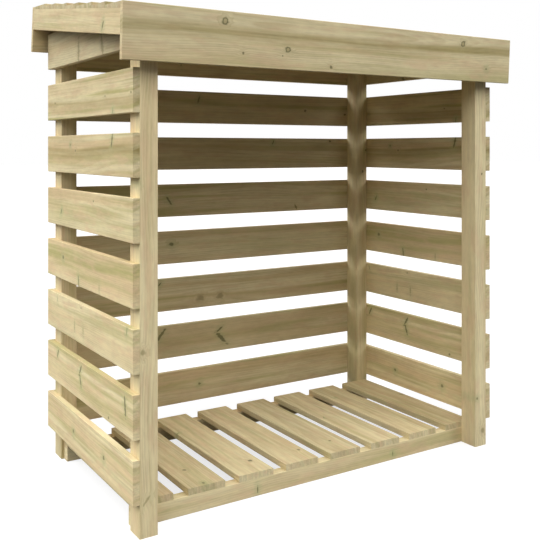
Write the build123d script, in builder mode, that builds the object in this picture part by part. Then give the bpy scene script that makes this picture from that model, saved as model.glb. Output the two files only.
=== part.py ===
from build123d import *
from math import cos, radians, sin, tan
import os

# Log store: an open-fronted slatted timber frame with a floor and a sloping boarded roof.
# Millimetres. X runs along the open front, Y from the front to the back, Z up from the ground.
# The origin is on the ground, at the middle of the roof's outline seen from above.

# Every board is planed, with the long arrises eased
arris_radius = 1.5

# Posts
frame_width = 1088.0
frame_depth = 606.0
post_width = 44.0
post_depth = 55.0

# Wall slats
slat_count = 8
slat_height = 100.0
slat_thickness = 16.0
slat_gap = 45.0
lowest_slat_height = 76.0

# Floor
floor_inset = 8.0
floor_rail_height = 44.0
floor_rail_thickness = 28.0
floor_slat_count = 8
floor_slat_width = 100.0
floor_slat_thickness = 16.0

# Roof frame
roof_slope = 8.0
roof_headroom = 67.0
roof_side_overhang = 56.0
roof_front_overhang = 28.0
roof_rear_overhang = 16.0
rafter_width = 44.0
rafter_depth = 44.0
barge_depth = 58.0
barge_thickness = 16.0
fascia_depth = 126.0
fascia_thickness = 13.0
front_fascia_lean = 3.0

# Roof boards
roof_board_count = 7
roof_board_lap = 16.5
roof_board_thick_edge = 14.5
roof_board_thin_edge = 5.5
rebate_clearance = 1.0

# Slat levels and the roof's height over them
slat_pitch = slat_height + slat_gap
slat_levels = [lowest_slat_height + i * slat_pitch for i in range(slat_count)]
top_slat_top = slat_levels[-1] + slat_height
slope = radians(roof_slope)
roof_line_at_back = top_slat_top + roof_headroom
roof_line_at_front = roof_line_at_back - frame_depth * tan(slope)

# Roof lengths, measured along the slope from the point over the posts' front faces
roof_front = -roof_front_overhang
roof_rear = (frame_depth + roof_rear_overhang) / cos(slope)
board_cover = (roof_rear - roof_front - roof_board_lap) / roof_board_count
board_width = board_cover + roof_board_lap
board_taper = (roof_board_thick_edge - roof_board_thin_edge) / board_width
roof_width = frame_width + 2 * roof_side_overhang

# The front fascia leans out at its top, less than square to the slope, and what meets it is cut to it
lean = radians(front_fascia_lean)
front_cut = slope - lean
front_fascia_top = roof_board_thick_edge / (cos(front_cut) + board_taper * sin(front_cut))

# Outline seen from above, which centres the part on its origin
front_reach = roof_front * cos(slope) - fascia_thickness * cos(lean) - front_fascia_top * sin(lean)
rear_fascia_foot = roof_board_thin_edge - fascia_depth
rear_reach = (roof_rear + fascia_thickness) * cos(slope) - rear_fascia_foot * sin(slope)
front_face = -(front_reach + rear_reach) / 2
rear_face = front_face + frame_depth
left_face = -frame_width / 2
right_face = frame_width / 2

# The roof plane is the underside of the roof boards: local X is across, local Y is up the slope
roof_origin = Vector(0, front_face, roof_line_at_front)
up_slope = Vector(0, cos(slope), sin(slope))
roof_normal = Vector(0, -sin(slope), cos(slope))
roof_plane = Plane(origin=roof_origin, x_dir=(1, 0, 0), z_dir=roof_normal)
slope_axis = Axis(roof_origin, up_slope)
rise_axis = Axis(roof_origin, roof_normal)
rafter_seat = roof_plane.offset(-rafter_depth)


def roof_section(x):
    """The plane of the roof's side profile at x: local X runs up the slope, local Y square to it."""
    return Plane(origin=roof_origin + Vector(x, 0, 0), x_dir=up_slope, z_dir=(1, 0, 0))


def under_boards(depth):
    """Profile of a timber under the roof boards: cut to the front fascia, square at the back."""
    return [
        (roof_front, 0),
        (roof_front - depth * tan(front_cut), -depth),
        (roof_rear, -depth),
        (roof_rear, 0),
    ]


def save(part, name):
    part.label = name
    export_step(part, f"parts/{name}.step")


os.makedirs("parts", exist_ok=True)

# Corner posts, with their heads cut to the slope that carries the rafters
post_places = {
    "front_left_post": (left_face + post_width / 2, front_face + post_depth / 2),
    "front_right_post": (right_face - post_width / 2, front_face + post_depth / 2),
    "rear_left_post": (left_face + post_width / 2, rear_face - post_depth / 2),
    "rear_right_post": (right_face - post_width / 2, rear_face - post_depth / 2),
}
for name, place in post_places.items():
    with BuildPart() as post:
        with BuildSketch(Plane.XY):
            with Locations(place):
                Rectangle(post_width, post_depth)
        extrude(amount=roof_line_at_back)
        fillet(post.edges().filter_by(Axis.Z), arris_radius)
        split(bisect_by=rafter_seat, keep=Keep.BOTTOM)
    save(post.part, name)

# Side slats, outside the posts, long enough to cover the ends of the back slats
side_slat_length = frame_depth + slat_thickness
side_faces = {
    "left": left_face - slat_thickness / 2,
    "right": right_face + slat_thickness / 2,
}
for side, x in side_faces.items():
    for number, level in enumerate(slat_levels, start=1):
        with BuildPart() as side_slat:
            with BuildSketch(Plane.XY.offset(level)):
                with Locations((x, front_face + side_slat_length / 2)):
                    Rectangle(slat_thickness, side_slat_length)
            extrude(amount=slat_height)
            fillet(side_slat.edges().filter_by(Axis.Y), arris_radius)
            if level + slat_height > roof_line_at_front:
                split(bisect_by=roof_plane, keep=Keep.BOTTOM)
        save(side_slat.part, f"{side}_slat_{number}")

# Back slats, outside the rear posts
for number, level in enumerate(slat_levels, start=1):
    with BuildPart() as back_slat:
        with BuildSketch(Plane.XY.offset(level)):
            with Locations((0, rear_face + slat_thickness / 2)):
                Rectangle(frame_width, slat_thickness)
        extrude(amount=slat_height)
        fillet(back_slat.edges().filter_by(Axis.X), arris_radius)
    save(back_slat.part, f"back_slat_{number}")

# Floor rails, between the front and rear posts
floor_width = frame_width - 2 * floor_inset
floor_front = front_face + post_depth
floor_rear = rear_face - post_depth
floor_middle = (floor_front + floor_rear) / 2
rail_places = {
    "floor_front_rail": floor_front + floor_rail_thickness / 2,
    "floor_rear_rail": floor_rear - floor_rail_thickness / 2,
}
for name, y in rail_places.items():
    with BuildPart() as rail:
        with BuildSketch(Plane.XY):
            with Locations((0, y)):
                Rectangle(floor_width, floor_rail_thickness)
        extrude(amount=floor_rail_height)
        fillet(rail.edges().filter_by(Axis.X), arris_radius)
    save(rail.part, name)

# Floor slats, from front to back across the rails
floor_slat_pitch = (floor_width - floor_slat_width) / (floor_slat_count - 1)
with BuildPart() as floor_slats:
    with BuildSketch(Plane.XY.offset(floor_rail_height)):
        with Locations((0, floor_middle)):
            with GridLocations(floor_slat_pitch, 1, floor_slat_count, 1):
                Rectangle(floor_slat_width, floor_rear - floor_front)
    extrude(amount=floor_slat_thickness)
    fillet(floor_slats.edges().filter_by(Axis.Y), arris_radius)
save(floor_slats.part, "floor_slats")

# Rafters, standing on the posts' heads, with one between them
rafter_places = {
    "left_rafter": left_face,
    "middle_rafter": -rafter_width / 2,
    "right_rafter": right_face - rafter_width,
}
for name, x in rafter_places.items():
    with BuildPart() as rafter:
        with BuildSketch(roof_section(x)):
            Polygon(*under_boards(rafter_depth), align=None)
        extrude(amount=rafter_width)
        fillet(rafter.edges().filter_by(slope_axis), arris_radius)
    save(rafter.part, name)

# Barge boards, closing the roof's sides under the ends of the roof boards
barge_places = {
    "left_barge_board": -roof_width / 2,
    "right_barge_board": roof_width / 2 - barge_thickness,
}
for name, x in barge_places.items():
    with BuildPart() as barge_board:
        with BuildSketch(roof_section(x)):
            Polygon(*under_boards(barge_depth), align=None)
        extrude(amount=barge_thickness)
        fillet(barge_board.edges().filter_by(slope_axis), arris_radius)
    save(barge_board.part, name)

# Fascias, level with the roof board that each one meets. The rear one is square to the slope.
end_section = roof_section(-roof_width / 2)
front_section = Plane(
    origin=end_section.from_local_coords((roof_front, 0)),
    x_dir=(0, cos(lean), sin(lean)),
    z_dir=(1, 0, 0),
)
fascia_places = {
    "front_fascia": (front_section, -fascia_thickness, front_fascia_top),
    "rear_fascia": (end_section, roof_rear, roof_board_thin_edge),
}
for name, (section, start, top) in fascia_places.items():
    with BuildPart() as fascia:
        with BuildSketch(section):
            with Locations((start, top)):
                Rectangle(fascia_thickness, fascia_depth, align=(Align.MIN, Align.MAX))
        extrude(amount=roof_width)
        fillet(fascia.edges().filter_by(Axis.X), arris_radius)
    save(fascia.part, name)

# Roof boards: tapered weatherboards laid across the slope, thick edge down the slope.
# Each board above the first has a rebate under its thick edge that seats on the thin edge below it.
# The first board's thick edge is cut to the front fascia. Each board's highest arris is eased.
lap_height = roof_board_thin_edge + board_taper * roof_board_lap
for number in range(1, roof_board_count + 1):
    front = roof_front + (number - 1) * board_cover
    back = front + board_width
    rebate = front + roof_board_lap + rebate_clearance
    with BuildPart() as roof_board:
        with BuildSketch(roof_section(-roof_width / 2)):
            with BuildLine():
                if number == 1:
                    Polyline(
                        (back, roof_board_thin_edge),
                        (back, 0),
                        (front, 0),
                        (front + front_fascia_top * sin(front_cut), front_fascia_top * cos(front_cut)),
                        close=True,
                    )
                else:
                    Polyline(
                        (back, roof_board_thin_edge),
                        (back, 0),
                        (rebate, 0),
                        (rebate, roof_board_thin_edge - board_taper * rebate_clearance),
                        (front, lap_height),
                        (front, roof_board_thick_edge),
                        close=True,
                    )
            make_face()
        extrude(amount=roof_width)
        fillet(roof_board.edges().filter_by(Axis.X).sort_by(rise_axis)[-1], arris_radius)
    save(roof_board.part, f"roof_board_{number}")
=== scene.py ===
import math
import random

import bpy
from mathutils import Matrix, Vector


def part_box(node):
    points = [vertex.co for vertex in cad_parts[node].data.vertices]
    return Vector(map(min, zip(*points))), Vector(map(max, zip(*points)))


# Log store: pale pressure-treated softwood on every board, under soft studio light.
# Metres. X runs along the open front, Y from the front to the back, Z up from the ground.
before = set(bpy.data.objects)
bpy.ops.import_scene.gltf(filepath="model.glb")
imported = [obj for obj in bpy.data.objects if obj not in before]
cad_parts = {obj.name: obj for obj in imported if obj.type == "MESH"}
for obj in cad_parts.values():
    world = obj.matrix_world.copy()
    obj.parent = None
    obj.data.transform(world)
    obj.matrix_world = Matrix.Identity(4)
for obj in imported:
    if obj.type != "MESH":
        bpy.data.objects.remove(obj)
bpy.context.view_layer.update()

# Camera: level and off the front left corner. Upright edges stay upright, so the picture is shifted.
image_pixels = 540
focal_pixels = 808.8
horizon_pixel = 149.1
sensor_width = 36.0
camera_place = (-1.2534, -1.9732, 0.8647)
camera_turn = 32.19

# Soft lamps, far away: where each stands round the object, its height in degrees and its strength.
# Azimuth 0 is in front of the open side and -90 at the left.
lamp_spread = 50.0
lamps = {
    "left_key": (-135, 42, 1.95),
    "left_fill": (-90, 28, 0.82),
    "front_left_fill": (-45, 42, 1.34),
    "front_right_fill": (45, 42, 1.95),
}
sky_strength = 0.14

# Studio floor: its reach, its shade and glow as the camera sees it, and its shade for bounced light
floor_reach = 40.0
floor_shade = 0.34
floor_glow = 0.76
floor_bounce = 0.08

# Pine: the growth rings, the relief of the surface and its gloss
ring_spacing = 0.0044
relief_strength = 0.5
relief_depth = 0.0006
gloss = 0.2

# The floor slats are one node of like boards
floor_slat_width = 0.100
floor_slat_count = 8


def colour(red, green, blue):
    """A screen colour, 0 to 255 a channel, as the linear colour that a shader takes."""
    linear = [((c / 255 + 0.055) / 1.055) ** 2.4 for c in (red, green, blue)]
    return (*linear, 1.0)


sapwood = colour(231, 217, 174)
heartwood = colour(216, 194, 149)
latewood = colour(183, 158, 110)
olive = colour(182, 173, 116)
tan = colour(216, 186, 148)
stain = colour(160, 143, 88)
knot_core = colour(150, 132, 82)
knot_rim = colour(84, 88, 54)
copper_green = colour(160, 178, 124)
white = colour(255, 255, 255)

# How fine each texture is, in grains a metre along the board, across its face and through it, with
# how many finer layers it has and how strong they are. The ring width goes by depth from the pith.
textures = {
    "wander": ((1.5, 4, 4), 1.0, 0.5),
    "ripple": ((7, 40, 40), 1.0, 0.5),
    "ring_width": ((70, 1, 1), 1.0, 0.5),
    "heart_band": ((0.9, 36, 1), 1.0, 0.5),
    "soak_band": ((1.2, 48, 1), 2.0, 0.6),
    "cloud": ((6, 26, 26), 2.0, 0.6),
    "blush": ((11, 40, 40), 2.0, 0.6),
    "mottle": ((38, 110, 110), 2.0, 0.6),
    "streak": ((3.5, 150, 150), 1.0, 0.6),
    "fibre": ((11, 640, 640), 1.0, 0.6),
    "fleck": ((30, 380, 380), 0.0, 0.5),
    "saw": ((0, 180, 22), 2.0, 0.65),
    "knot_edge": ((60, 140, 140), 1.0, 0.5),
}

# What the fine figure does to the brightness of the wood: between which two values of the texture
# it changes, and from which share to which
fleck_start, fleck_end = 0.62, 0.76
brightness = {
    "streak": (0.25, 0.75, 0.965, 1.03),
    "fibre": (0.25, 0.75, 0.975, 1.02),
    "mottle": (0.3, 0.7, 0.97, 1.03),
    "fleck": (fleck_start, fleck_end, 1.0, 0.94),
    "cloud": (0.25, 0.75, 1.05, 0.95),
}

# How each family of boards looks: its tone, how much olive is in it and how many small knots it has.
# The tone of the back and right slats is lowered as painted shade for the shade inside the store, and
# the roof's tone is lowered as painted shade against the strong light on its top.
post_look = {"tone": 1.05, "olive": 0.35, "knots": 0.1}
left_slat_look = {"tone": 1.03, "olive": 0.75, "knots": 0.1}
right_slat_look_with_painted_shade = {"tone": 0.95, "olive": 0.7, "knots": 0.1}
back_slat_look_with_painted_shade = {"tone": 0.82, "olive": 0.75, "knots": 0.2}
floor_look = {"tone": 0.96, "olive": 0.5, "knots": 0.15}
rail_look = {"tone": 1.07, "olive": 0.5, "knots": 0.1}
rafter_look = {"tone": 0.90, "olive": 0.4, "knots": 0.2}
fascia_look = {"tone": 1.01, "olive": 0.45, "knots": 0.05}
roof_look_with_painted_shade = {"tone": 0.86, "olive": 0.6, "knots": 0.2}

# Boards that the photograph shows darker or paler than their family, as shares of its tone: partly
# the wood's own tone and partly painted light and shade. The top side slats under the roof's overhang
# and the rear posts inside carry painted shade, and the lower side slats carry painted light.
board_tones_with_painted_light_and_shade = {
    "slat_1": 1.03, "slat_2": 1.04, "slat_3": 1.03, "slat_4": 1.03, "slat_6": 0.95, "slat_7": 0.97,
    "slat_8": 0.87, "barge_board": 0.95,
    "back_slat_2": 0.94, "back_slat_4": 1.06, "back_slat_5": 1.05, "back_slat_8": 1.15,
    "rear_left_post": 0.90, "rear_right_post": 0.85,
}

# Each kind of knot: its half length along the grain and across it as shares of its size,
# how hollow its rim is, how dark its rim is, and how much copper green is round it
knot_kinds = {
    "pin": (1.2, 1.0, 0.0, 0.60, 0.1),
    "green_pin": (1.2, 1.0, 0.0, 0.55, 0.9),
    "slit": (0.10, 0.5, 0.0, 0.60, 0.8),
    "seam": (0.10, 0.5, 0.0, 0.12, 0.3),
    "eye": (1.0, 1.15, 0.7, 0.75, 0.5),
    "spot": (1.5, 1.2, 0.0, 0.20, 0.3),
}

# Dark bands along a board that show in the photograph: place across it, half width and strength
stains = {
    "front_fascia": (0.014, 0.022, 0.75),
    "slat_7": (-0.018, 0.018, 0.75),
    "slat_6": (0.004, 0.016, 0.95),
}
no_stain = (0.0, 1.0, 0.0)

# Knots that show in the photograph: kind, place along and across the board from its middle,
# size, and lean in degrees. Left and right boards of one number are cut alike.
knots = {
    "barge_board": [("slit", -0.225, -0.010, 0.028, -20)],
    "slat_8": [("seam", 0.050, -0.025, 0.070, 0), ("seam", -0.120, -0.025, 0.070, 12)],
    "slat_7": [
        ("pin", 0.245, -0.005, 0.003, 0), ("pin", -0.140, -0.005, 0.002, 0),
        ("slit", -0.190, -0.040, 0.014, -10), ("pin", -0.300, -0.005, 0.003, 0),
    ],
    "slat_6": [
        ("slit", -0.185, 0.035, 0.035, -15), ("pin", 0.075, 0.010, 0.003, 0),
        ("green_pin", 0.115, 0.025, 0.003, 0),
    ],
    "slat_5": [("slit", 0.190, -0.010, 0.022, -30), ("pin", -0.060, 0.030, 0.002, 0)],
    "slat_4": [
        ("green_pin", 0.175, 0.010, 0.005, -20), ("slit", 0.050, -0.035, 0.028, 8),
        ("seam", -0.100, -0.035, 0.025, 0),
    ],
    "slat_3": [
        ("seam", 0.225, 0.035, 0.020, 20), ("seam", 0.080, -0.015, 0.030, 0),
        ("seam", 0.015, -0.015, 0.028, 0), ("slit", -0.275, 0.040, 0.016, -15),
        ("pin", 0.030, 0.042, 0.002, 0),
    ],
    "slat_2": [
        ("slit", 0.220, 0.030, 0.030, -30), ("slit", 0.035, 0.028, 0.034, -35),
        ("slit", 0.035, 0.000, 0.034, 20), ("slit", -0.265, 0.015, 0.045, 10),
    ],
    "slat_1": [("green_pin", 0.090, 0.000, 0.004, 0), ("green_pin", -0.130, 0.000, 0.005, 0)],
    "front_fascia": [
        ("eye", -0.350, 0.040, 0.007, 0), ("pin", -0.300, -0.030, 0.003, 0),
        ("eye", -0.175, -0.015, 0.007, 60), ("pin", -0.190, -0.030, 0.002, 0),
        ("pin", -0.045, -0.050, 0.004, 0), ("eye", 0.410, 0.040, 0.007, 0),
        ("green_pin", 0.505, -0.025, 0.003, 0),
    ],
    "back_slat_7": [("pin", 0.320, 0.000, 0.004, 0), ("pin", 0.490, -0.010, 0.004, 0)],
    "back_slat_6": [("slit", 0.190, 0.035, 0.016, 25), ("pin", 0.425, 0.040, 0.004, 0)],
    "back_slat_5": [("slit", -0.190, 0.000, 0.030, -35)],
    "back_slat_4": [("green_pin", -0.180, 0.010, 0.006, 30)],
    "back_slat_3": [
        ("slit", -0.220, 0.035, 0.016, 40), ("spot", -0.080, -0.020, 0.008, 0),
        ("spot", -0.010, -0.020, 0.008, 0),
    ],
    "back_slat_2": [
        ("slit", -0.215, 0.025, 0.045, 40), ("slit", -0.012, 0.018, 0.031, 53),
        ("slit", -0.006, -0.010, 0.054, -46),
    ],
    "back_slat_1": [("green_pin", -0.085, 0.000, 0.004, 0)],
    "front_left_post": [("spot", -0.155, -0.015, 0.005, 0), ("seam", -0.485, -0.005, 0.030, 50)],
    "front_right_post": [("pin", 0.225, 0.005, 0.003, 0), ("spot", -0.525, 0.010, 0.006, 0)],
    "rear_right_post": [("pin", 0.180, 0.005, 0.004, 0)],
    "floor_slats": [
        ("pin", -0.140, -0.355, 0.004, 0), ("green_pin", -0.235, -0.350, 0.003, 0),
        ("pin", -0.175, -0.185, 0.005, 0), ("slit", 0.105, -0.255, 0.014, 30),
        ("pin", -0.180, -0.035, 0.004, 0), ("pin", -0.170, 0.075, 0.003, 0),
    ],
    "floor_front_rail": [("slit", -0.205, -0.005, 0.016, 0), ("slit", 0.235, -0.005, 0.014, 0)],
}


class Graph:
    """A shader tree, with calls that add nodes to it. An input is a value or a node's output."""

    def __init__(self, tree):
        self.tree = tree

    def node(self, kind, inputs=None, **settings):
        node = self.tree.nodes.new(kind)
        for name, value in settings.items():
            setattr(node, name, value)
        for key, value in (inputs or {}).items():
            self.put(node.inputs[key], value)
        return node

    def put(self, socket, value):
        if isinstance(value, bpy.types.NodeSocket):
            self.tree.links.new(value, socket)
        else:
            socket.default_value = value

    def math(self, operation, *values):
        node = self.node("ShaderNodeMath", dict(enumerate(values)), operation=operation)
        return node.outputs[0]

    def vector(self, operation, *values):
        node = self.node("ShaderNodeVectorMath", dict(enumerate(values)), operation=operation)
        return node.outputs["Value" if operation in ("DOT_PRODUCT", "LENGTH") else "Vector"]

    def scale(self, vector, factor):
        inputs = {"Vector": vector, "Scale": factor}
        return self.node("ShaderNodeVectorMath", inputs, operation="SCALE").outputs["Vector"]

    def join(self, x, y, z):
        return self.node("ShaderNodeCombineXYZ", {0: x, 1: y, 2: z}).outputs[0]

    def parts(self, vector):
        return self.node("ShaderNodeSeparateXYZ", {0: vector}).outputs

    def ease(self, value, start, end, low=0.0, high=1.0):
        """Goes smoothly from low to high while the value goes from start to end."""
        inputs = {"Value": value, "From Min": start, "From Max": end, "To Min": low, "To Max": high}
        return self.node("ShaderNodeMapRange", inputs, interpolation_type="SMOOTHSTEP").outputs[0]

    def texture(self, name, position):
        """The texture of that name at a position: noise around 0.5."""
        grains, detail, roughness = textures[name]
        place = self.vector("MULTIPLY", position, grains)
        inputs = {"Vector": place, "Scale": 1.0, "Detail": detail, "Roughness": roughness}
        return self.node("ShaderNodeTexNoise", inputs).outputs["Fac"]

    def blend(self, amount, under, over):
        """One colour laid over another by that amount, from 0 to 1."""
        inputs = {"Factor": amount, "A": under, "B": over}
        return self.node("ShaderNodeMix", inputs, data_type="RGBA").outputs["Result"]

    def use(self, tree, inputs):
        """A node group put to use, as the outputs of its node."""
        return self.node("ShaderNodeGroup", inputs, node_tree=tree).outputs


def empty_graph(owner):
    """The shader tree of a new material or world, without its first nodes."""
    owner.use_nodes = True
    owner.node_tree.nodes.clear()
    return Graph(owner.node_tree)


FLOAT, VECTOR, COLOUR = "NodeSocketFloat", "NodeSocketVector", "NodeSocketColor"


def group(name, inputs, outputs):
    """A new node group, as its graph, the outputs of its input node and its output node."""
    tree = bpy.data.node_groups.new(name, "ShaderNodeTree")
    for label, kind in inputs.items():
        tree.interface.new_socket(label, in_out="INPUT", socket_type=kind)
    for label, kind in outputs.items():
        tree.interface.new_socket(label, in_out="OUTPUT", socket_type=kind)
    g = Graph(tree)
    return g, g.node("NodeGroupInput").outputs, g.node("NodeGroupOutput")


def knot_marks(g, offset, half, angle, ragged, hollow, dark, copper):
    """What a knot does to the wood: one vector of its bulge, core and rim, and its green.

    The offset is from the knot's middle, and half is its half length and half width. Distances from
    the middle are shares of that half size. The bulge is how far the knot pushes the rings aside.
    """
    halo_reach, deepest_bulge = 0.012, 0.008
    turn = {"Vector": offset, "Axis": (0, 0, 1), "Angle": angle}
    turned = g.node("ShaderNodeVectorRotate", turn).outputs[0]
    flat = g.scale(g.vector("MULTIPLY", turned, (1, 1, 0)), ragged)
    distance = g.vector("LENGTH", g.vector("DIVIDE", flat, half))
    wide = g.vector("ADD", half, (halo_reach, halo_reach, 0))
    halo = g.vector("LENGTH", g.vector("DIVIDE", flat, wide))
    near = g.ease(halo, 0.0, 1.5, 1.0, 0.0)
    bulge = g.math("MULTIPLY", near, g.math("MINIMUM", g.parts(half)[0], deepest_bulge))
    core = g.ease(distance, 0.5, 1.3, 1.0, 0.0)
    inner = g.ease(distance, g.math("SUBTRACT", hollow, 0.35), g.math("ADD", hollow, 0.05))
    rim = g.math("MULTIPLY", inner, g.ease(distance, 0.7, 1.35, dark, 0.0))
    return g.join(bulge, core, rim), g.math("MULTIPLY", near, copper)


def make_placed_knot():
    """One knot at a chosen place on a board, laid over the knots before it."""
    inputs = {
        "Position": VECTOR, "Ragged": FLOAT, "Centre": VECTOR, "Half": VECTOR, "Angle": FLOAT,
        "Hollow": FLOAT, "Dark": FLOAT, "Copper": FLOAT, "Marks": VECTOR, "Green": FLOAT,
    }
    g, given, out = group("placed_knot", inputs, {"Marks": VECTOR, "Green": FLOAT})
    offset = g.vector("SUBTRACT", given["Position"], given["Centre"])
    shape = [given[key] for key in ("Half", "Angle", "Ragged", "Hollow", "Dark", "Copper")]
    marks, green = knot_marks(g, offset, *shape)
    g.put(out.inputs["Marks"], g.vector("MAXIMUM", marks, given["Marks"]))
    g.put(out.inputs["Green"], g.math("MAXIMUM", green, given["Green"]))
    return g.tree


def scattered_knots(g, place, ragged, share):
    """Small knots, at most one in each cell of a stretched grid, in that share of the cells."""
    cell = (0.26, 0.085, 0.30)
    smallest, growth, widest = 0.0015, 0.0020, 3.5
    lean_range, solid, dark = 1.4, 0.0, 0.45
    grid = g.vector("DIVIDE", place, cell)
    cells = g.node("ShaderNodeTexVoronoi", {"Vector": grid, "Scale": 1.0, "Randomness": 0.9})
    offset = g.vector("MULTIPLY", g.vector("SUBTRACT", grid, cells.outputs["Position"]), cell)
    chance, lean, tint = g.parts(cells.outputs["Color"])
    present = g.ease(chance, g.math("SUBTRACT", 1.0, share), 1.0)
    along = g.math("ADD", smallest, g.math("MULTIPLY", present, growth))
    across = g.math("MULTIPLY", along, g.ease(tint, 0.1, 0.9, 1.0, widest))
    half = g.join(along, across, 1.0)
    angle = g.math("MULTIPLY", g.math("SUBTRACT", lean, 0.5), lean_range)
    marks, green = knot_marks(g, offset, half, angle, ragged, solid, dark, lean)
    shown = g.ease(present, 0.0, 0.02)
    return g.scale(marks, shown), g.math("MULTIPLY", green, shown)


def drift(g, place, position):
    """The position pushed across the board, so that the grain wanders slowly and ripples a little."""
    wander_reach, ripple_reach, direction = 0.045, 0.003, (0, 1, 0.7)
    wander = g.math("SUBTRACT", g.texture("wander", place), 0.5)
    ripple = g.math("SUBTRACT", g.texture("ripple", place), 0.5)
    slow = g.math("MULTIPLY", wander, wander_reach)
    quick = g.math("MULTIPLY", ripple, ripple_reach)
    return g.vector("ADD", position, g.scale(direction, g.math("ADD", slow, quick)))


def growth_rings(g, drifted, pith, spacing, seed, bulge):
    """The depth from the pith, pushed aside by knots, and the dark late wood of the rings."""
    unevenness, late_start, late_end = 1.8, 0.30, 0.88
    x, y, z = g.parts(drifted)
    pith_y, pith_z, taper = g.parts(pith)
    radius = g.join(0.0, g.math("SUBTRACT", y, pith_y), g.math("SUBTRACT", z, pith_z))
    depth = g.math("ADD", g.vector("LENGTH", radius), g.math("MULTIPLY", x, taper))
    depth = g.math("SUBTRACT", depth, bulge)
    uneven = g.math("MULTIPLY", g.texture("ring_width", g.join(depth, seed, 0.0)), unevenness)
    phase = g.math("FRACT", g.math("ADD", g.math("DIVIDE", depth, spacing), uneven))
    darkening = g.ease(phase, late_start, late_end)
    return depth, g.math("MULTIPLY", darkening, g.ease(phase, late_end, 1.0, 1.0, 0.0))


def band_position(g, drifted, depth, seed):
    """A position for the broad bands, which follow the grain and the rings of their own board."""
    ring_share = 0.5
    x, y, _ = g.parts(drifted)
    across = g.math("ADD", y, g.math("MULTIPLY", depth, ring_share))
    return g.join(g.math("ADD", x, seed), across, seed)


def stain_amount(g, drifted, soak_band, band):
    """How much of a board's dark band is at a position. It is uneven, like the olive in the wood."""
    middle, half_width, strength = g.parts(band)
    distance = g.math("ABSOLUTE", g.math("SUBTRACT", g.parts(drifted)[1], middle))
    shape = g.ease(g.math("DIVIDE", distance, half_width), 0.1, 1.2, 1.0, 0.0)
    stained = g.math("MULTIPLY", shape, g.ease(soak_band, 0.3, 0.6, 0.4, 1.0))
    return g.math("MULTIPLY", stained, strength)


def wood_shade(g, tone, end, figure):
    """How bright the wood is: its board's tone, with the fine figure, and saw strokes on the ends."""
    shade = tone
    for name, change in brightness.items():
        shade = g.math("MULTIPLY", shade, g.ease(figure[name], *change))
    strokes = g.ease(figure["saw"], 0.3, 0.7, 1.04, 0.88)
    return g.math("MULTIPLY", shade, g.ease(end, 0.0, 1.0, 1.0, strokes))


def wood_relief(g, end, figure):
    """The height of the surface: raised fibres, sunk flecks, and saw strokes on the ends."""
    fibre_height, fleck_depth, stroke_depth = 0.40, 0.25, 0.50
    raised = g.math("MULTIPLY", figure["fibre"], fibre_height)
    sunk = g.math("MULTIPLY", g.ease(figure["fleck"], fleck_start, fleck_end), fleck_depth)
    strokes = g.math("MULTIPLY", g.math("MULTIPLY", end, figure["saw"]), stroke_depth)
    return g.math("SUBTRACT", g.math("SUBTRACT", raised, sunk), strokes)


def wood_roughness(g, core, figure):
    """How dull the surface is: less so on the raised fibres, and least in the middle of a knot."""
    dullest, smoothest, knot_polish = 0.78, 0.64, 0.12
    rough = g.ease(figure["fibre"], 0.2, 0.8, dullest, smoothest)
    return g.math("SUBTRACT", rough, g.math("MULTIPLY", core, knot_polish))


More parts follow.
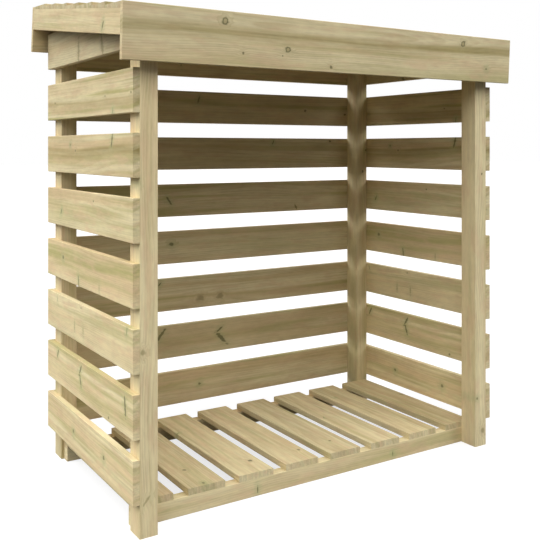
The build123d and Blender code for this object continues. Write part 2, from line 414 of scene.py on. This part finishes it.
def make_treated_pine():
    """The wood of a board cut from a log: rings, knots, broad tones, fine figure and end grain."""
    inputs = {
        "Position": VECTOR, "Seed": FLOAT, "Pith": VECTOR, "Spacing": FLOAT, "Tone": FLOAT,
        "Olive": FLOAT, "Heart": FLOAT, "Knots": FLOAT, "End": FLOAT, "Ragged": FLOAT,
        "Marks": VECTOR, "Green": FLOAT, "Stain": VECTOR,
    }
    outputs = {"Color": COLOUR, "Roughness": FLOAT, "Height": FLOAT}
    g, given, out = group("treated_pine", inputs, outputs)
    position, seed, end = given["Position"], given["Seed"], given["End"]

    # Each seed takes another piece of wood, and the shifts keep one texture from following another
    seed_step, soak_shift, blush_shift = (1.37, 0.61, 0.43), (3.1, 7.7, 1.9), (9.1, 2.3, 5.7)
    # How strong the rings are on the ends, and the most of three colours at a knot
    rings_on_ends, knot_blush, knot_green, knot_brown = 0.4, 0.35, 0.45, 0.45
    place = g.vector("ADD", position, g.scale(seed_step, seed))
    marks, green = scattered_knots(g, place, given["Ragged"], given["Knots"])
    bulge, core, rim = g.parts(g.vector("MAXIMUM", marks, given["Marks"]))
    green = g.math("MAXIMUM", green, given["Green"])
    drifted = drift(g, place, position)
    depth, late = growth_rings(g, drifted, given["Pith"], given["Spacing"], seed, bulge)
    late = g.math("MULTIPLY", late, g.ease(end, 0.0, 1.0, 1.0, rings_on_ends))

    bands = band_position(g, drifted, depth, seed)
    heart_band = g.texture("heart_band", bands)
    soak_band = g.texture("soak_band", g.vector("ADD", bands, soak_shift))
    blush = g.texture("blush", g.vector("ADD", place, blush_shift))
    fine = ("cloud", "mottle", "streak", "fibre", "fleck", "saw")
    figure = {name: g.texture(name, place) for name in fine}

    # The colours laid over the sapwood: how much of each, from the lowest to the highest
    layers = [
        (g.math("MULTIPLY", g.ease(heart_band, 0.36, 0.64), given["Heart"]), heartwood),
        (g.math("MULTIPLY", late, g.ease(figure["cloud"], 0.3, 0.7, 0.08, 0.36)), latewood),
        (g.math("MULTIPLY", g.ease(soak_band, 0.46, 0.70), given["Olive"]), olive),
        (g.ease(blush, 0.46, 0.70, 0.0, 0.48), tan),
        (stain_amount(g, drifted, soak_band, given["Stain"]), stain),
        (g.ease(bulge, 0.0010, 0.006, 0.0, knot_blush), tan),
        (g.math("MULTIPLY", green, knot_green), copper_green),
        (g.math("MULTIPLY", core, knot_brown), knot_core),
        (rim, knot_rim),
    ]
    wood = sapwood
    for amount, over in layers:
        wood = g.blend(amount, wood, over)
    g.put(out.inputs["Color"], g.scale(wood, wood_shade(g, given["Tone"], end, figure)))
    g.put(out.inputs["Roughness"], wood_roughness(g, core, figure))
    g.put(out.inputs["Height"], wood_relief(g, end, figure))
    return g.tree


placed_knot = make_placed_knot()
treated_pine = make_treated_pine()


def centre(name):
    low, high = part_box(name)
    return (low + high) / 2


along_x, along_y, along_z = Vector((1, 0, 0)), Vector((0, 1, 0)), Vector((0, 0, 1))
up_slope = (centre("roof_board_7") - centre("roof_board_2")).normalized()
off_slope = along_x.cross(up_slope)


def place_knots(g, position, ragged, figure):
    """The chosen knots of a board, one laid over the other."""
    marks, green = (0.0, 0.0, 0.0), 0.0
    for kind, along, across, size, lean in knots.get(figure, ()):
        half_along, half_across, hollow, dark, copper = knot_kinds[kind]
        inputs = {
            "Position": position, "Ragged": ragged, "Centre": (along, across, 0.0),
            "Half": (half_along * size, half_across * size, 1.0), "Angle": math.radians(lean),
            "Hollow": hollow, "Dark": dark, "Copper": copper, "Marks": marks, "Green": green,
        }
        placed = g.use(placed_knot, inputs)
        marks, green = placed["Marks"], placed["Green"]
    return marks, green


def floor_slat_number(g, across):
    """Which floor slat a point is on, from 0 at the left, and how far across that slat it is."""
    low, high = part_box("floor_slats")
    reach = high.x - low.x - floor_slat_width
    pitch = reach / (floor_slat_count - 1)
    count = g.math("DIVIDE", g.math("ADD", across, reach / 2), pitch)
    number = g.math("ROUND", count)
    return number, g.math("MULTIPLY", g.math("SUBTRACT", count, number), pitch)


def board_draws(figure, look):
    """What chance gives each board: its piece of the tree, its tone and colours, and its rings."""
    dice = random.Random(figure)
    return {
        "Seed": dice.uniform(0, 40),
        # Besides the wood's own tone, this tone holds the painted shade and light of the tables above
        "Tone": look["tone"] * board_tones_with_painted_light_and_shade.get(figure, dice.uniform(0.97, 1.03)),
        "Heart": dice.uniform(0.45, 1.0),
        "Olive": look["olive"] * dice.uniform(0.5, 1.4),
        "Spacing": ring_spacing * dice.uniform(0.8, 1.3),
        # The pith's place across the board and behind its face, and its slant along the board
        "Pith": (
            dice.choice((-1, 1)) * dice.uniform(0.0, 0.06),
            dice.uniform(0.02, 0.09),
            dice.uniform(-0.012, 0.012),
        ),
    }


def vary_floor_slats(g, number, draws):
    """Gives each floor slat a seed and a tone of its own, since one material covers them all."""
    seed_step, tone_range = 3.3, 0.05
    seed, tone = draws["Seed"], draws["Tone"]
    lot = g.node("ShaderNodeTexWhiteNoise", {"W": number}, noise_dimensions="1D").outputs["Value"]
    darkest, palest = (1 - tone_range) * tone, (1 + tone_range) * tone
    return {
        **draws,
        "Seed": g.math("ADD", g.math("MULTIPLY", number, seed_step), seed),
        "Tone": g.ease(lot, 0.0, 1.0, darkest, palest),
    }


def timber_material(name, along, across, look):
    """Pine for one board. Its grain runs along one direction, and its face lies across the other."""
    figure = name.removeprefix("left_").removeprefix("right_")
    material = bpy.data.materials.new(f"pine_{name}")
    g = empty_graph(material)

    # The board's own directions: along the grain, across its face and through its thickness
    place = g.vector("SUBTRACT", g.node("ShaderNodeTexCoord").outputs["Object"], tuple(centre(name)))
    directions = (along, across, along.cross(across))
    x, y, z = (g.vector("DOT_PRODUCT", place, tuple(direction)) for direction in directions)
    position = g.join(x, y, z)
    ragged = g.ease(g.texture("knot_edge", position), 0.2, 0.8, 0.7, 1.4)
    marks, green = place_knots(g, position, ragged, figure)
    normal = g.node("ShaderNodeNewGeometry").outputs["True Normal"]
    facing = g.math("ABSOLUTE", g.vector("DOT_PRODUCT", normal, tuple(along)))

    draws = board_draws(figure, look)
    if name == "floor_slats":
        number, y = floor_slat_number(g, y)
        draws = vary_floor_slats(g, number, draws)
        position = g.join(x, y, z)
    pine = g.use(treated_pine, {
        **draws, "Position": position, "Knots": look["knots"], "Ragged": ragged, "Marks": marks,
        "Green": green, "End": g.ease(facing, 0.6, 0.9), "Stain": stains.get(figure, no_stain),
    })
    relief = {"Strength": relief_strength, "Distance": relief_depth, "Height": pine["Height"]}
    surface = g.node("ShaderNodeBsdfPrincipled", {
        "Base Color": pine["Color"], "Roughness": pine["Roughness"], "Specular IOR Level": gloss,
        "Normal": g.node("ShaderNodeBump", relief).outputs["Normal"],
    })
    g.node("ShaderNodeOutputMaterial", {"Surface": surface.outputs["BSDF"]})
    return material


# Each family of boards: what its names hold, its grain, its face and its look
families = [
    ("_post", along_z, along_x, post_look),
    ("left_slat_", along_y, along_z, left_slat_look),
    ("right_slat_", along_y, along_z, right_slat_look_with_painted_shade),
    ("back_slat_", along_x, along_z, back_slat_look_with_painted_shade),
    ("_rail", along_x, along_z, rail_look),
    ("floor_slats", along_y, along_x, floor_look),
    ("_rafter", up_slope, along_x, rafter_look),
    ("_barge_board", up_slope, off_slope, left_slat_look),
    ("_fascia", along_x, off_slope, fascia_look),
    ("roof_board_", along_x, up_slope, roof_look_with_painted_shade),
]

for name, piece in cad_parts.items():
    along, across, look = next(family[1:] for family in families if family[0] in name)
    piece.data.materials.clear()
    piece.data.materials.append(timber_material(name, along, across, look))


def seen_by_camera(g):
    """1 for what the camera sees, also through glass or in a reflection, and 0 for bounced light."""
    rays = g.node("ShaderNodeLightPath").outputs
    seen = g.math("MAXIMUM", rays["Is Camera Ray"], rays["Is Transmission Ray"])
    return g.math("MAXIMUM", seen, rays["Is Glossy Ray"])


def diffuse(g, shade):
    """A matt grey of that shade."""
    return g.node("ShaderNodeBsdfDiffuse", {"Color": (shade, shade, shade, 1.0)}).outputs[0]


def make_floor():
    """A plain pale floor. Only the camera sees its glow, so the object isn't lit by it."""
    far = floor_reach
    mesh = bpy.data.meshes.new("floor")
    corners = [(-far, -far, 0), (far, -far, 0), (far, far, 0), (-far, far, 0)]
    mesh.from_pydata(corners, [], [(0, 1, 2, 3)])
    floor = bpy.data.objects.new("studio_floor", mesh)
    bpy.context.scene.collection.objects.link(floor)
    material = bpy.data.materials.new("studio_floor")
    g = empty_graph(material)
    glow = g.node("ShaderNodeEmission", {"Color": white, "Strength": floor_glow}).outputs[0]
    bright = g.node("ShaderNodeAddShader", {0: diffuse(g, floor_shade), 1: glow}).outputs[0]
    shaders = {0: seen_by_camera(g), 1: diffuse(g, floor_bounce), 2: bright}
    g.node("ShaderNodeOutputMaterial", {"Surface": g.node("ShaderNodeMixShader", shaders).outputs[0]})
    mesh.materials.append(material)


def make_world():
    """A white background for the camera and for reflections, and a dimmer sky on the object."""
    world = bpy.data.worlds.new("studio")
    bpy.context.scene.world = world
    g = empty_graph(world)
    sky = g.node("ShaderNodeBackground", {"Color": white, "Strength": sky_strength}).outputs[0]
    backdrop = g.node("ShaderNodeBackground", {"Color": white, "Strength": 1.0}).outputs[0]
    shaders = {0: seen_by_camera(g), 1: sky, 2: backdrop}
    g.node("ShaderNodeOutputWorld", {"Surface": g.node("ShaderNodeMixShader", shaders).outputs[0]})


def make_lamps():
    for name, (azimuth, height, strength) in lamps.items():
        turn, rise = math.radians(azimuth), math.radians(height)
        flat = math.cos(rise)
        source = Vector((math.sin(turn) * flat, -math.cos(turn) * flat, math.sin(rise)))
        light = bpy.data.lights.new(name, "SUN")
        light.energy = strength
        light.angle = math.radians(lamp_spread)
        lamp = bpy.data.objects.new(name, light)
        lamp.rotation_euler = source.to_track_quat("Z", "Y").to_euler()
        bpy.context.scene.collection.objects.link(lamp)


def make_camera():
    """The photograph's camera. Its shift puts the horizon where the photograph has it."""
    data = bpy.data.cameras.new("camera")
    data.sensor_width = sensor_width
    data.lens = focal_pixels / image_pixels * sensor_width
    data.shift_y = (horizon_pixel - image_pixels / 2) / image_pixels
    camera = bpy.data.objects.new("camera", data)
    camera.location = camera_place
    camera.rotation_euler = (math.radians(90), 0.0, math.radians(-camera_turn))
    bpy.context.scene.collection.objects.link(camera)
    bpy.context.scene.camera = camera


make_floor()
make_world()
make_lamps()
make_camera()
bpy.context.scene.view_settings.view_transform = "Standard"
